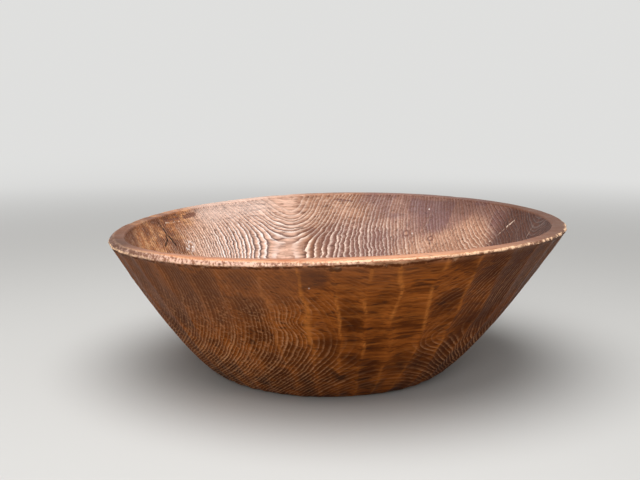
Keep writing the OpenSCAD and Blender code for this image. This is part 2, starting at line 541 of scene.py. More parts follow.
def stretch(way, limits):
    """Goes from 0 to 1 past the start of a stretch of the way, and back to 0 before its end."""
    start, rise, end, fall = limits
    return np.clip((way - start) / rise, 0, 1) * np.clip((end - way) / fall, 0, 1)


def keep(mesh, name, values):
    """Stores one number for each vertex, which the material reads by its name."""
    layer = mesh.attributes.get(name) or mesh.attributes.new(name, "FLOAT", "POINT")
    layer.data.foreach_set("value", values.astype(np.float32))


def numbers(items, name, width=1):
    """One property of all the items as an array."""
    found = np.empty(len(items) * width, np.float32)
    items.foreach_get(name, found)
    return found.reshape(-1, width).astype(float) if width > 1 else found.astype(float)


def move(mesh, places):
    """Moves the mesh's vertices to the places."""
    mesh.vertices.foreach_set("co", places.astype(np.float32).ravel())
    mesh.update()


def smooth_shaded(blank, name):
    """A mesh made from the bmesh, which is freed, with smooth shading."""
    mesh = bpy.data.meshes.new(name)
    blank.to_mesh(mesh)
    blank.free()
    mesh.polygons.foreach_set("use_smooth", np.ones(len(mesh.polygons), bool))
    return mesh


def even_ways(zone, count, sizes):
    """Ways that cut a zone of the section into `count` equal lengths, without the last."""
    t = np.linspace(0, 1, FINE_STEPS)
    radius, height, _ = section(zone + t * WITHIN_ZONE, 0 * t, sizes)
    run = np.concatenate([[0], np.cumsum(np.hypot(np.diff(radius), np.diff(height)))])
    return zone + np.interp(np.linspace(0, run[-1], count + 1)[:-1], run, t)


def turned_blank(sizes):
    """The bowl's section, spun into a closed blank whose vertices know their way along it."""
    ways = np.concatenate([even_ways(zone, count, sizes) for zone, count in STATIONS.items()] + [[MIDDLE]])
    radius, height, _ = section(ways, 0 * ways, sizes)
    radius[0] = radius[-1] = 0

    blank = bmesh.new()
    way_layer = blank.verts.layers.float.new("way")
    outline = []
    for w, r, h in zip(ways, radius, height):
        vertex = blank.verts.new((r, 0, h))
        vertex[way_layer] = w
        outline.append(vertex)
    edges = [blank.edges.new(pair) for pair in zip(outline, outline[1:])]
    wedge = 2 * math.pi / WEDGES
    round_z = {"cent": (0, 0, 0), "axis": (0, 0, 1), "dvec": (0, 0, 0), "use_merge": False}
    bmesh.ops.spin(
        blank, geom=outline + edges, angle=wedge, steps=TURNS // WEDGES, use_duplicate=False, **round_z
    )
    whole = blank.verts[:] + blank.edges[:] + blank.faces[:]
    bmesh.ops.spin(
        blank, geom=whole, angle=2 * math.pi - wedge, steps=WEDGES - 1, use_duplicate=True, **round_z
    )
    bmesh.ops.remove_doubles(blank, verts=blank.verts[:], dist=WELD)
    bmesh.ops.recalc_face_normals(blank, faces=blank.faces[:])
    return smooth_shaded(blank, "bowl_carved")


def from_heart(places, height, course):
    """Distance from a heart of the log that runs along X at the given height on the given course."""
    x, y, z = places.T
    rise, drift, tallness = course
    return np.hypot(y - drift * x, (z - rise * x - height) * tallness)


def ring_reach(places, finish):
    """Distance from the log's heart, which runs along X above the bowl and swells round small knots."""
    front = from_heart(places, finish.pith_front, FRONT_HEART)
    back = from_heart(places, finish.pith_back, BACK_HEART)
    reach = front + smooth(places[:, 1], -HEARTS_MEET, HEARTS_MEET) * (back - front)
    for place, size, rise in EYES:
        away = ((places - place) ** 2 * EYE_STRETCH).sum(axis=1)
        reach += rise * np.exp(-away / size**2)
    return reach


def keep_rings(mesh, places, outward, carved, finish):
    """Stores how far out among the rings each place is, and how squarely the surface cuts them."""
    grown = places + outward * (RING_CALM * carved)[:, None]
    reach = ring_reach(grown, finish)
    steps = NUDGE * np.eye(3)
    slope = np.stack([ring_reach(grown + step, finish) - reach for step in steps], axis=-1)
    slope /= np.linalg.norm(slope, axis=-1, keepdims=True)
    squarely = np.linalg.norm(np.cross(outward, slope), axis=-1)
    uneven = unevenness(places * WAVER_STRETCH, RING_WAVER)
    keep(mesh, "reach", reach + uneven * (0.06 + 0.94 * squarely))
    keep(mesh, "squarely", squarely)


def carve(mesh, sizes, finish):
    """Turns the blank into the oval, fluted and worn bowl, and stores what its finish needs."""
    way = numbers(mesh.attributes["way"].data, "value")
    blank = numbers(mesh.vertices, "co", 3)
    turn = np.arctan2(blank[:, 1], blank[:, 0])
    degrees = np.degrees(turn)
    places = placed(way, turn, sizes)
    move(mesh, places)
    outward = numbers(mesh.vertex_normals, "vector", 3)

    # Gouge flutes down the outside, which drift a little as they go down
    fluted = stretch(way, FLUTED)
    drift = FLUTE_DRIFT * (places[:, 2] - FLUTES_TRUE_AT)
    ridges = ridge_directions(sizes.flute_count, FLUTE_SEED, FRONT_RIDGES)
    depth, near, tone = tool_cuts(places, degrees + drift, ridges, FLUTE_MARKS)
    carved = fluted * depth * sizes.flute_depth * (1 + unevenness(places, FLUTE_DEPTHS))

    # Shallower facets in the hollow, down to its floor
    faceted = stretch(way, FACETED)
    ridges = ridge_directions(FACET_COUNT, FACET_SEED)
    depth_in, near_in, tone_in = tool_cuts(places, degrees, ridges, FACET_MARKS)
    carved += faceted * depth_in * sizes.facet_depth

    # Unevenness of handwork everywhere but on the foot
    for amount, size, seed in HANDWORK:
        carved += amount * (1 + wander(places, size, seed)) * (way > HANDWORK_FROM)

    # Crumbled outer arris and a knocked rim
    crumbs = stretch(way, CRUMBLED) * np.clip(unevenness(places, CRUMBS) - CRUMBS_FROM, 0, 1)
    carved += crumbs * CRUMB_DEPTH
    knocks = stretch(way, KNOCKED) * np.clip(unevenness(places, KNOCKS) - KNOCKS_FROM, 0, 1)
    carved += knocks * KNOCK_DEPTH

    low, high = (np.array(corner) for corner in CAD_BOX)
    places = np.clip(places - outward * carved[:, None], low + BOX_MARGIN, high - BOX_MARGIN)
    places[way <= WALL, 2] = 0.0
    move(mesh, places)

    keep(mesh, "ridge", np.clip(fluted * near + faceted * near_in * FACET_RIDGE_SHARE, 0, 1))
    keep(mesh, "chip", np.clip(crumbs * CRUMBS_SHOWN, 0, 1))
    past = way - OUTER_EDGE
    from_arris = past * np.where(past < 0, WALL_LENGTH, BEVEL_ARC * bevel_width(turn, sizes))
    keep(mesh, "from_arris", np.clip(from_arris, -ARRIS_REACH, ARRIS_REACH))
    keep(mesh, "cut_tone", np.where(way > HOLLOW, tone_in, tone))
    keep(mesh, "hollowed", fluted * depth + faceted * depth_in)
    keep_rings(mesh, places, outward, carved, finish)


class Signal:
    """A number that comes out of a node, reckoned with as in Python."""

    def __init__(self, bench, socket):
        self.bench = bench
        self.socket = socket

    def beside(self, name):
        """Another output of the same node."""
        return Signal(self.bench, self.socket.node.outputs[name])

    def __add__(self, other):
        return self.bench.maths("ADD", self, other)

    def __radd__(self, other):
        return self.bench.maths("ADD", other, self)

    def __sub__(self, other):
        return self.bench.maths("SUBTRACT", self, other)

    def __rsub__(self, other):
        return self.bench.maths("SUBTRACT", other, self)

    def __mul__(self, other):
        return self.bench.maths("MULTIPLY", self, other)

    def __rmul__(self, other):
        return self.bench.maths("MULTIPLY", other, self)

    def __truediv__(self, other):
        return self.bench.maths("DIVIDE", self, other)

    def __rtruediv__(self, other):
        return self.bench.maths("DIVIDE", other, self)

    def __pow__(self, other):
        return self.bench.maths("POWER", self, other)

    def __neg__(self):
        return self.bench.maths("MULTIPLY", self, -1.0)

    def __abs__(self):
        return self.bench.maths("ABSOLUTE", self)


class FinishBench:
    """Builds the nodes of a material or of a world."""

    def __init__(self, owner):
        owner.use_nodes = True
        self.nodes = owner.node_tree.nodes
        self.links = owner.node_tree.links
        self.nodes.clear()

    def node(self, kind, settings=None, inputs=None, output=0):
        """Adds a node with its settings first and then its inputs, and gives one of its outputs."""
        made = self.nodes.new(kind)
        for name, value in (settings or {}).items():
            setattr(made, name, value)
        for name, value in (inputs or {}).items():
            if isinstance(value, Signal):
                self.links.new(value.socket, made.inputs[name])
            else:
                made.inputs[name].default_value = value
        return Signal(self, made.outputs[output]) if len(made.outputs) else made

    def maths(self, operation, *values):
        """The outcome of a Math node."""
        return self.node("ShaderNodeMath", {"operation": operation}, dict(enumerate(values)))

    def vector_maths(self, operation, *values, output="Vector"):
        """The outcome of a Vector Math node."""
        return self.node("ShaderNodeVectorMath", {"operation": operation}, dict(enumerate(values)), output)

    def attribute(self, name):
        """A number that the mesh stores for each vertex."""
        return self.node("ShaderNodeAttribute", {"attribute_name": name}, output="Fac")

    def most(self, first, *others):
        """The greatest of several values."""
        for other in others:
            first = self.maths("MAXIMUM", first, other)
        return first

    def mixed(self, share, first, second):
        """A colour that goes from the first to the second as share goes from 0 to 1."""
        first, second = (c if isinstance(c, Signal) else tuple(c) + (1.0,) for c in (first, second))
        settings = {"data_type": "RGBA", "clamp_factor": True}
        return self.node("ShaderNodeMix", settings, {0: share, 6: first, 7: second}, 2)

    def step(self, value, low, high):
        """Goes smoothly from 0 to 1 as value goes from low to high."""
        return self.node(
            "ShaderNodeMapRange",
            {"interpolation_type": "SMOOTHSTEP"},
            {"Value": value, "From Min": low, "From Max": high},
        )

    def fade(self, value, low, high):
        """Goes smoothly from 1 to 0 as value goes from low to high."""
        return 1 - self.step(value, low, high)

    def noise(self, place, grains, detail, roughness):
        """Noise with so many grains for each metre along X, Y and Z."""
        scaled = self.vector_maths("MULTIPLY", place, grains)
        return self.node(
            "ShaderNodeTexNoise",
            {"noise_dimensions": "3D"},
            {"Vector": scaled, "Scale": 1.0, "Detail": detail, "Roughness": roughness},
        )

    def from_point(self, place, point):
        """Distance in metres from a point."""
        return self.vector_maths("DISTANCE", place, point, output="Value")

    def from_line(self, place, start, end):
        """Distance in metres from a straight line between two points."""
        start, end = Vector(start), Vector(end)
        along = end - start
        offset = self.vector_maths("SUBTRACT", place, tuple(start))
        share = self.vector_maths("DOT_PRODUCT", offset, tuple(along / along.length_squared), output="Value")
        share = self.node("ShaderNodeClamp", None, {"Value": share})
        scale = {0: tuple(along), "Scale": share}
        nearest = self.node("ShaderNodeVectorMath", {"operation": "SCALE"}, scale, "Vector")
        return self.vector_maths("DISTANCE", offset, nearest, output="Value")


class Layers:
    """A colour that is built up in layers."""

    def __init__(self, bench, colour):
        self.bench = bench
        self.colour = colour

    def lay(self, share, colour):
        """Lays a colour over what is there, more of it as share goes from 0 to 1."""
        self.colour = self.bench.mixed(share, self.colour, colour)


def log_wood(bench):
    """Where a place is on the bowl, what the carving stored there, and the fibres and clouds of the wood."""
    place = bench.node("ShaderNodeTexCoord", output="Object")
    x = bench.node("ShaderNodeSeparateXYZ", None, {"Vector": place}, "X")
    stored = {name: bench.attribute(name) for name in STORED}
    grains = {name: bench.noise(place, *how) for name, how in GRAINS.items()}
    wood = SimpleNamespace(place=place, x=x, y=x.beside("Y"), z=x.beside("Z"), **stored, **grains)

    wood.inside = bench.step(wood.way, INNER_EDGE + 0.2, HOLLOW + 0.02)
    wood.rim = bench.step(wood.way, OUTER_EDGE - 0.025, OUTER_EDGE + 0.02)
    wood.rim = wood.rim * bench.fade(wood.way, INNER_EDGE + 0.6, HOLLOW + 0.03)
    wood.fine = bench.step(wood.hair, 0.36, 0.64)
    wood.streak = bench.step(wood.fibre, 0.52, 0.66)
    wood.bright_streak = bench.fade(wood.fibre, 0.34, 0.46)
    wood.pore = bench.step(wood.pit, 0.68, 0.75)
    wood.bead = bench.step(wood.pearl, 0.36, 0.60)
    wood.dash = bench.step(wood.tick, 0.60, 0.70)
    wood.wobble = (wood.cloud - 0.5) * 0.10 + (wood.blotch - 0.5) * 0.06
    return wood


def grow_rings(bench, wood, finish):
    """Adds the growth rings: late wood and grooves, each year's luck, and how clearly they are cut."""
    inside, squarely = wood.inside, wood.squarely

    # Frayed where bundles of fibres slip past each other
    calm = 1 - 0.6 * bench.step(wood.z, 0.105, 0.130) * inside
    fray = (wood.fray - 0.5) * (0.0027 + 0.0036 * inside) * calm
    slipped = fray + (wood.bundle - 0.5) * (0.0010 + 0.0012 * inside * calm)
    reach = wood.reach + slipped * (0.05 + 0.95 * squarely)

    # Years counted outwards, while each ring is a little thinner than the last
    slowing = finish.ring_slowing
    growth = finish.ring_width + RING_WIDTH_AT * slowing - reach * slowing
    years = bench.maths("LOGARITHM", bench.most(growth, THINNEST_RING), math.e) / -slowing
    change = {"W": reach * WEATHER_GRAINS, "Detail": 1.0}
    weather = bench.node("ShaderNodeTexNoise", {"noise_dimensions": "1D"}, change)
    years = years + weather * WEATHER_SHARE
    year = bench.maths("FLOOR", years)
    season = years - year
    wood.luck = bench.node("ShaderNodeTexWhiteNoise", {"noise_dimensions": "1D"}, {"W": year})
    wood.late = bench.step(season, 0.30, 0.82) ** 1.5 * bench.fade(season, 0.84, 0.93)
    wood.groove = bench.step(season, 0.84, 0.94) + bench.fade(season, 0.05, 0.36)

    # Clear where the surface cuts them squarely, but not high in the middle of the outside
    cut = bench.step(squarely, 0.10 - 0.08 * inside, 0.42 - 0.26 * inside)
    wood.crown = bench.step(wood.z - abs(wood.x + 0.008) * 0.60, 0.060, 0.105) * (1 - inside)
    wood.cut = cut * (1 - 0.80 * wood.crown)


def stain_hollow(bench, wood):
    """Adds where the hollow is stained: orange at its -X end, purple and nearly black at its +X end."""
    x, wobble = wood.x, wood.wobble
    wood.orange = bench.step(-x + wobble, 0.092, 0.158)
    wood.purple = bench.step(x + wobble * 1.6, 0.100, 0.160)
    wood.end = bench.step(x + wobble * 0.3, 0.165, 0.200) * bench.fade(wood.y + wobble * 0.4, 0.020, 0.050)
    wood.drab = bench.step(x + wobble * 0.5, 0.030, 0.060) * bench.fade(wood.z, 0.110, 0.135)
    wood.drab = wood.drab * bench.fade(x, 0.100, 0.125)
    washed = bench.from_line(wood.place, *WASHED_STREAK) + wobble * 0.5
    wood.washed = bench.fade(washed, 0.010, 0.034)


def outside_wood(bench, wood, finish):
    """Outside: stained brown between rubbed orange ridges, its rings faint where they lie along the wall."""
    x, y, z = wood.x, wood.y, wood.z
    blotch, cloud, cut = wood.blotch, wood.cloud, wood.cut

    # Body of the wood, sooty at the foot; painted shade darkens the flutes' hollows and both ends, and a
    # painted sheen greys it high up
    shade = blotch + (wood.cut_tone - 0.5) * 0.30 - (wood.hollowed - 0.5) * 0.22 + (cloud - 0.5) * 0.5
    shade = shade - 0.22 * bench.step(x, 0.02, 0.12) - 0.12 * bench.step(-x, 0.09, 0.17) + 0.07 * wood.crown
    outside = Layers(bench, finish.outside_dark)
    outside.lay(bench.step(shade, 0.14, 0.72), finish.outside_light)
    outside.lay((1 - wood.fine) * 0.50, finish.outside_dark)
    outside.lay(wood.bright_streak * (0.32 - 0.12 * cut), finish.ridge_colour)
    outside.lay(wood.streak * (0.75 - 0.40 * cut), finish.outside_dark)
    outside.lay(wood.dash * 0.50, finish.crack_colour)
    sooty = bench.step(wood.soot, 0.50, 0.64) * bench.fade(z, 0.020, 0.060)
    outside.lay(sooty * 0.60, finish.crack_colour)
    # Painted sheen: a greyish reflection laid over the wood high up, which also dims the rings there
    painted_sheen = bench.step(z - x * 0.40 + (cloud - 0.5) * 0.12, 0.120, 0.175)
    outside.lay(painted_sheen * 0.45, finish.outside_sheen)
    # Painted shade: darker towards the +X end
    outside.lay(bench.step(x, 0.03, 0.14) * 0.50, finish.outside_dark)

    # Rings, clearest low down
    low = bench.fade(z + (cloud - 0.5) * 0.05, 0.040, 0.085)
    clear = cut * (0.12 + 0.38 * bench.step(wood.clear, 0.38, 0.60) + 0.50 * low) * (1 - 0.35 * painted_sheen)
    clear = clear * (1 - 0.30 * bench.step(-x + z * 0.5, 0.15, 0.21))
    outside.lay(wood.groove * 0.65 * clear, finish.outside_dark)
    late = wood.late * (0.45 + 0.55 * wood.bead) * (0.75 + 0.3 * wood.luck)
    # Painted shade: the late wood is dimmer towards the +X end
    late = late * (1 - 0.15 * bench.step(x, 0.02, 0.10))
    outside.lay(late * clear, finish.outside_line)
    # Painted glints: pale specks on the left of the outside, below the rim
    speck = bench.step(wood.speck, 0.56, 0.68) * bench.step(-x, 0.04, 0.10) * bench.fade(z, 0.095, 0.125)
    outside.lay(speck * 0.28, finish.outside_line)

    # Ridges between the flutes, rubbed most where they face the front
    facing_front = bench.step(-y - abs(x - 0.01) * 0.8, 0.01, 0.10)
    shown = wood.patch + (facing_front - 1) * 0.12 + bench.step(z, 0.03, 0.09) * 0.10
    shown = bench.step(shown, 0.44, 0.64)
    fading = 0.35 + 0.65 * bench.step(z, 0.030, 0.070)
    rubbed = bench.step(wood.ridge + (blotch - 0.5) * 0.8, 0.14, 0.80) * shown * fading
    rubbed = rubbed * (0.30 + 0.70 * facing_front) * (1 - 0.65 * bench.step(x, 0.055, 0.085))
    ridge_wood = bench.mixed(bench.step(abs(x), 0.07, 0.13) * 0.8, finish.ridge_colour, finish.ridge_pink)
    outside.lay(rubbed * (0.45 + 0.50 * wood.fine), ridge_wood)
    return outside.colour


def hollow_wood(bench, wood, finish):
    """Hollow: paler than the outside, stained at both ends and brown below the rim, with painted shade at
    both ends and a painted sheen.
    """
    place, x, z = wood.place, wood.x, wood.z
    blotch, mottle, wobble = wood.blotch, wood.mottle, wood.wobble
    orange, purple, washed = wood.orange, wood.purple, wood.washed

    # Body of the wood, its stains, and painted shade at both ends
    hollow = Layers(bench, finish.inside_light)
    hollow.lay(bench.step(blotch + (wood.cloud - 0.5) * 0.4, 0.34, 0.66), finish.inside_stain)
    pale = bench.fade(abs(x + 0.055) + wobble * 0.6, 0.055, 0.095)
    hollow.lay(pale * 0.85, finish.inside_pale)
    hollow.lay(wood.drab * 0.60, finish.purple_stain)
    hollow.lay(orange * 0.90, finish.inside_orange)
    hollow.lay(orange * bench.fade(mottle, 0.40, 0.50) * 0.85, finish.inside_gold)
    # Painted shade inside the rim's -X tip, and high up along the -X end below the rim
    hollow.lay(bench.step(-x, 0.184, 0.204) * 0.70, finish.inside_dark)
    left_end_shade = bench.step(-x + z * 0.5 + (blotch - 0.5) * 0.16, 0.215, 0.255)
    hollow.lay(left_end_shade * 0.60, finish.inside_dark)
    smoky = orange * bench.step(blotch * 0.5 + mottle * 0.5, 0.51, 0.58)
    hollow.lay(smoky * 0.72, finish.inside_dark)
    stained = (0.66 + 0.34 * bench.step(wood.cut_tone, 0.25, 0.60)) * (0.95 - 0.78 * washed)
    hollow.lay(purple * stained, finish.purple_stain)
    hollow.lay(washed * 0.4, finish.inside_light)
    hollow.lay(wood.end * 0.88, finish.end_stain_and_shade)
    # Painted shade below the rim at the +X end
    right_rim_shade = bench.step(x + wobble * 0.5, 0.135, 0.185) * bench.step(z + wobble * 0.2, 0.122, 0.146)
    hollow.lay(right_rim_shade * 0.45, finish.end_stain_and_shade)
    gritty = (1 - wood.fine) * 0.38 + wood.streak * 0.22 + wood.dash * 0.30
    gritty = gritty + bench.step(wood.grit, 0.58, 0.68) * 0.35
    hollow.lay(gritty, finish.inside_dark)

    # Rings, fainter near the rim and in the stains; a painted sheen whitens them at the left of the back
    clear = wood.cut * (0.45 + 0.55 * bench.step(wood.clear, 0.34, 0.56))
    clear = clear * (1 - 0.66 * bench.step(z, 0.112, 0.142))
    clear = clear * (1 - 0.50 * bench.step(x + wobble * 0.4, 0.080, 0.120)) * (1 - 0.35 * orange)
    # Painted sheen: whitened lines round its middle at the left of the back
    painted_sheen = bench.fade(bench.from_point(place, SHEEN_MIDDLE) + wobble * 0.4, 0.030, 0.085)
    groove_colour = bench.mixed(painted_sheen, finish.inside_dark, finish.sheen_groove)
    hollow.lay(wood.groove * (0.80 + 0.20 * wood.luck) * clear * (1 - 0.5 * purple), groove_colour)
    # Painted glints: late wood painted near white, brightest in the painted sheen
    bright = wood.late * (0.55 + 0.45 * wood.bead) * (1.2 - 0.75 * purple * (1 - washed) - 0.80 * orange)
    bright = bright * (0.75 + 0.25 * wood.luck)
    line_colour = bench.mixed(painted_sheen, finish.inside_line_and_glint, finish.sheen_and_fleck_white)
    hollow.lay(bright * clear * (1 - 0.7 * wood.end) * (1 - 0.35 * wood.drab), line_colour)
    rubbed = bench.step(wood.ridge + (blotch - 0.5) * 0.8, 0.35, 0.9) * bench.step(wood.patch, 0.40, 0.60)
    hollow.lay(rubbed * 0.42, finish.inside_line_and_glint)
    hollow.lay(bench.fade(wood.grit, 0.30, 0.40) * (0.18 - 0.14 * purple), finish.inside_line_and_glint)

    # Reddish smudge, grey patch and the painted highlight below the rim
    smudge = bench.from_line(place, *SMUDGE) + (mottle - 0.5) * 0.012
    hollow.lay(bench.fade(smudge, 0.002, 0.010) * 0.60, finish.bruise_colour)
    greyish = bench.from_point(place, GREY_PATCH) + (mottle - 0.5) * 0.012
    hollow.lay(bench.fade(greyish, 0.006, 0.015) * 0.45, finish.inside_dark)
    rim_highlight = bench.from_line(place, *RIM_HIGHLIGHT) + (mottle - 0.5) * 0.020
    hollow.lay(bench.fade(rim_highlight, 0.002, 0.026) * 0.22, finish.sheen_and_fleck_white)
    return hollow.colour


def rim_wood(bench, wood, finish):
    """Top of the rim: handled smooth, with reddish fibres and painted shade along its inner edge towards -X.
    """
    x, fibre = wood.x, wood.fibre
    top = Layers(bench, finish.rim_colour)
    reddish = fibre + (wood.blotch - 0.5) * 0.35
    reddish = reddish + 0.10 * bench.step(wood.way, RIM_TOP + 0.2, RIM_TOP + 0.9) - 0.05
    top.lay(bench.step(reddish, 0.44, 0.56) * 0.95, finish.rim_streak)
    top.lay(bench.step(-x, 0.05, 0.14) * 0.65, finish.rim_streak)
    # Painted shade along the rim's inner edge, towards -X
    inner_edge_shade = bench.step(wood.way + (fibre - 0.5) * 1.6, RIM_TOP + 0.3, RIM_TOP + 0.9)
    inner_edge_shade = inner_edge_shade * bench.step(-x, 0.03, 0.10)
    top.lay(inner_edge_shade * 0.55, finish.bevel_colour)
    top.lay((1 - wood.fine) * 0.25 + bench.step(x, 0.02, 0.10) * 0.38, finish.rim_streak)
    top.lay(wood.dull, finish.rim_dull)
    return top.colour


def wear_rim(bench, wood, finish, bowl):
    """Lays the bevel with its torn wood and the pale arris, broken and with a painted highlight, and adds
    the worn and highlighted places.
    """
    x, crumb, nibble, hatch = wood.x, wood.crumb, wood.nibble, wood.hatch
    near = bench.step(-wood.y, 0.02, 0.10)
    knocked = near * bench.step(x, -0.034, -0.020) * bench.fade(x, 0.020, 0.034)
    wide = bench.step(-x, 0.06, 0.13) * bench.fade(-x, 0.175, 0.200)
    tipped = bench.step(-x, 0.165, 0.195)
    jagged = bench.step(x, 0.02, 0.06)
    above = wood.way - 0.25 * wide - 0.40 * tipped
    ragged = wood.from_arris + (crumb - 0.5) * 0.0026 + (wood.blotch - 0.5) * 0.0040
    ragged = ragged + 0.0018 * knocked - 0.0009 * near * (1 - wide)

    # Dark line under the arris, and the bevel above it
    under = bench.fade(abs(ragged + 0.0014), 0.0005, 0.0019)
    bowl.lay(under * bench.step(nibble + (wood.blotch - 0.5) * 0.6, 0.36, 0.54) * 0.85, finish.outside_dark)
    torn = Layers(bench, finish.bevel_colour)
    rough = bench.step(hatch * 0.85 + nibble * 0.15 + 0.10 * wide, 0.48, 0.66)
    torn.lay(rough * (1 - 0.85 * knocked), finish.bevel_pale)
    torn.lay(knocked * 0.45, finish.rim_streak)
    torn.lay(wood.dull * 0.6, finish.rim_dull)
    bevel = bench.step(ragged, -0.0003, 0.0006)
    bevel = bevel * bench.fade(above + (crumb - 0.5) * 0.3, OUTER_EDGE + 0.34, OUTER_EDGE + 0.50)
    bowl.lay(bevel * 0.85, torn.colour)

    # Pale teeth along the arris, broken wood with a painted highlight, jagged towards +X, and a painted
    # highlight band above them, brightest where lit
    teeth = bench.fade(abs(ragged - 0.0012), 0.0007, 0.0017 + 0.0010 * bench.step(x, 0.02, 0.08))
    broken = nibble + (wood.clear - 0.5) * 0.7
    teeth = teeth * bench.step(broken, 0.42 - 0.10 * jagged, 0.58 - 0.10 * jagged)
    notched = bench.step(wood.notch + (crumb - 0.5) * 0.3, 0.40, 0.54)
    teeth = teeth * (1 - jagged + jagged * notched) * (1 - 0.65 * (1 - jagged) * near)
    lit = near * bench.step(x, -0.11, -0.04) * bench.fade(x, 0.13, 0.17)
    highlight_band = bench.step(above + (crumb - 0.5) * 0.4, OUTER_EDGE + 0.32, OUTER_EDGE + 0.44)
    highlight_band = highlight_band * bench.fade(above + (hatch - 0.5) * 0.5, OUTER_EDGE + 0.56, OUTER_EDGE + 0.74)
    highlight_band = highlight_band * bench.step(wood.clear + (hatch - 0.5) * 0.8, 0.36, 0.56) * (0.35 + 0.60 * lit)
    highlight_band = highlight_band * (1 - 0.6 * wood.dull * (1 - near * tipped)) * (1 - 0.25 * tipped)
    chipped = bench.step(wood.chip + (crumb - 0.5) * 1.2, 0.4, 0.9) * 0.3
    # Worn places: broken wood and painted highlight together
    wood.worn = bench.most(teeth, highlight_band, chipped)
    bowl.lay(wood.worn * 0.9, finish.worn_and_highlight_colour)


def mark_cracks(bench, wood, finish, bowl):
    """Lays the chisel dents and the forked crack below the rim's inner edge, and adds where they are."""
    place, rough = wood.place, wood.crumb - 0.5
    dents = []
    for start, end, reach in DENTS:
        away = bench.from_line(place, start, end) + rough * 0.0040
        dents.append(bench.fade(away, reach * 0.6, reach))
    wood.dents = bench.most(*dents) * wood.inside
    bowl.lay(wood.dents * (0.70 + 0.30 * wood.fine), finish.bruise_colour)

    pieces = [pair for line in CRACK for pair in zip(line, line[1:])]
    crack = bench.from_line(place, *pieces[0])
    for start, end in pieces[1:]:
        crack = bench.maths("MINIMUM", crack, bench.from_line(place, start, end))
    wood.crack = bench.fade(crack + rough * 0.0026, 0.0006, 0.0019)
    bowl.lay(wood.crack * wood.inside * 0.9, finish.crack_colour)


def mark_hollow(bench, wood, finish, bowl):
    """Lays the pin knots, flecks of wax, scratches and worm specks of the hollow."""
    place, inside, rough = wood.place, wood.inside, wood.crumb - 0.5
    for spot, reach in PIN_KNOTS:
        away = bench.from_point(place, spot) + rough * 0.0016
        bowl.lay(bench.fade(away, reach * 0.4, reach * 0.7) * 0.5, finish.inside_light)
        ringed = bench.step(away, reach * 0.50, reach * 0.75) * bench.fade(away, reach, reach * 1.30)
        bowl.lay(ringed * 0.95, finish.bruise_colour)
    for spot, reach in PALE_FLECKS:
        fleck = bench.fade(bench.from_point(place, spot), reach * 0.6, reach * 1.3)
        bowl.lay(fleck * 0.6, finish.sheen_and_fleck_white)
    spatter = bench.fade(bench.from_point(place, WAX_SPATTER), 0.003, 0.010)
    bowl.lay(spatter * bench.step(wood.crumb, 0.48, 0.58) * inside * 0.8, finish.sheen_and_fleck_white)
    for start, end, share in SCRATCHES:
        away = bench.from_line(place, start, end) + rough * 0.0024
        bowl.lay(bench.fade(away, 0.0003, 0.0014) * share * inside, finish.inside_line_and_glint)
    for spot, reach in WORM_SPECKS:
        away = bench.from_point(place, spot) + rough * 0.002
        bowl.lay(bench.fade(away, reach * 0.5, reach * 1.3) * 0.7, finish.bruise_colour)


def mark_outside(bench, wood, finish, bowl):
    """Lays the smoky patches, lines of dirt and short dark dashes of the outside."""
    place = wood.place
    for spot, reach in SMOKY_PATCHES:
        away = bench.from_point(place, spot) + (wood.blotch - 0.5) * 0.030
        bowl.lay(bench.fade(away, reach * 0.3, reach * 1.2) * 0.38, finish.rim_dull)
    dirt = []
    for start, end, reach in DIRT_LINES:
        away = bench.from_line(place, start, end) + (wood.nibble - 0.5) * 0.0080
        dirt.append(bench.fade(away, reach * 0.4, reach * 1.2))
    bowl.lay(bench.most(*dirt) * (1 - wood.inside) * 0.65, finish.crack_colour)
    for x, y, z in DARK_DASHES:
        away = bench.from_line(place, (x - DASH_REACH, y, z), (x + DASH_REACH, y, z))
        bowl.lay(bench.fade(away, 0.0005, 0.0014) * 0.85, finish.crack_colour)


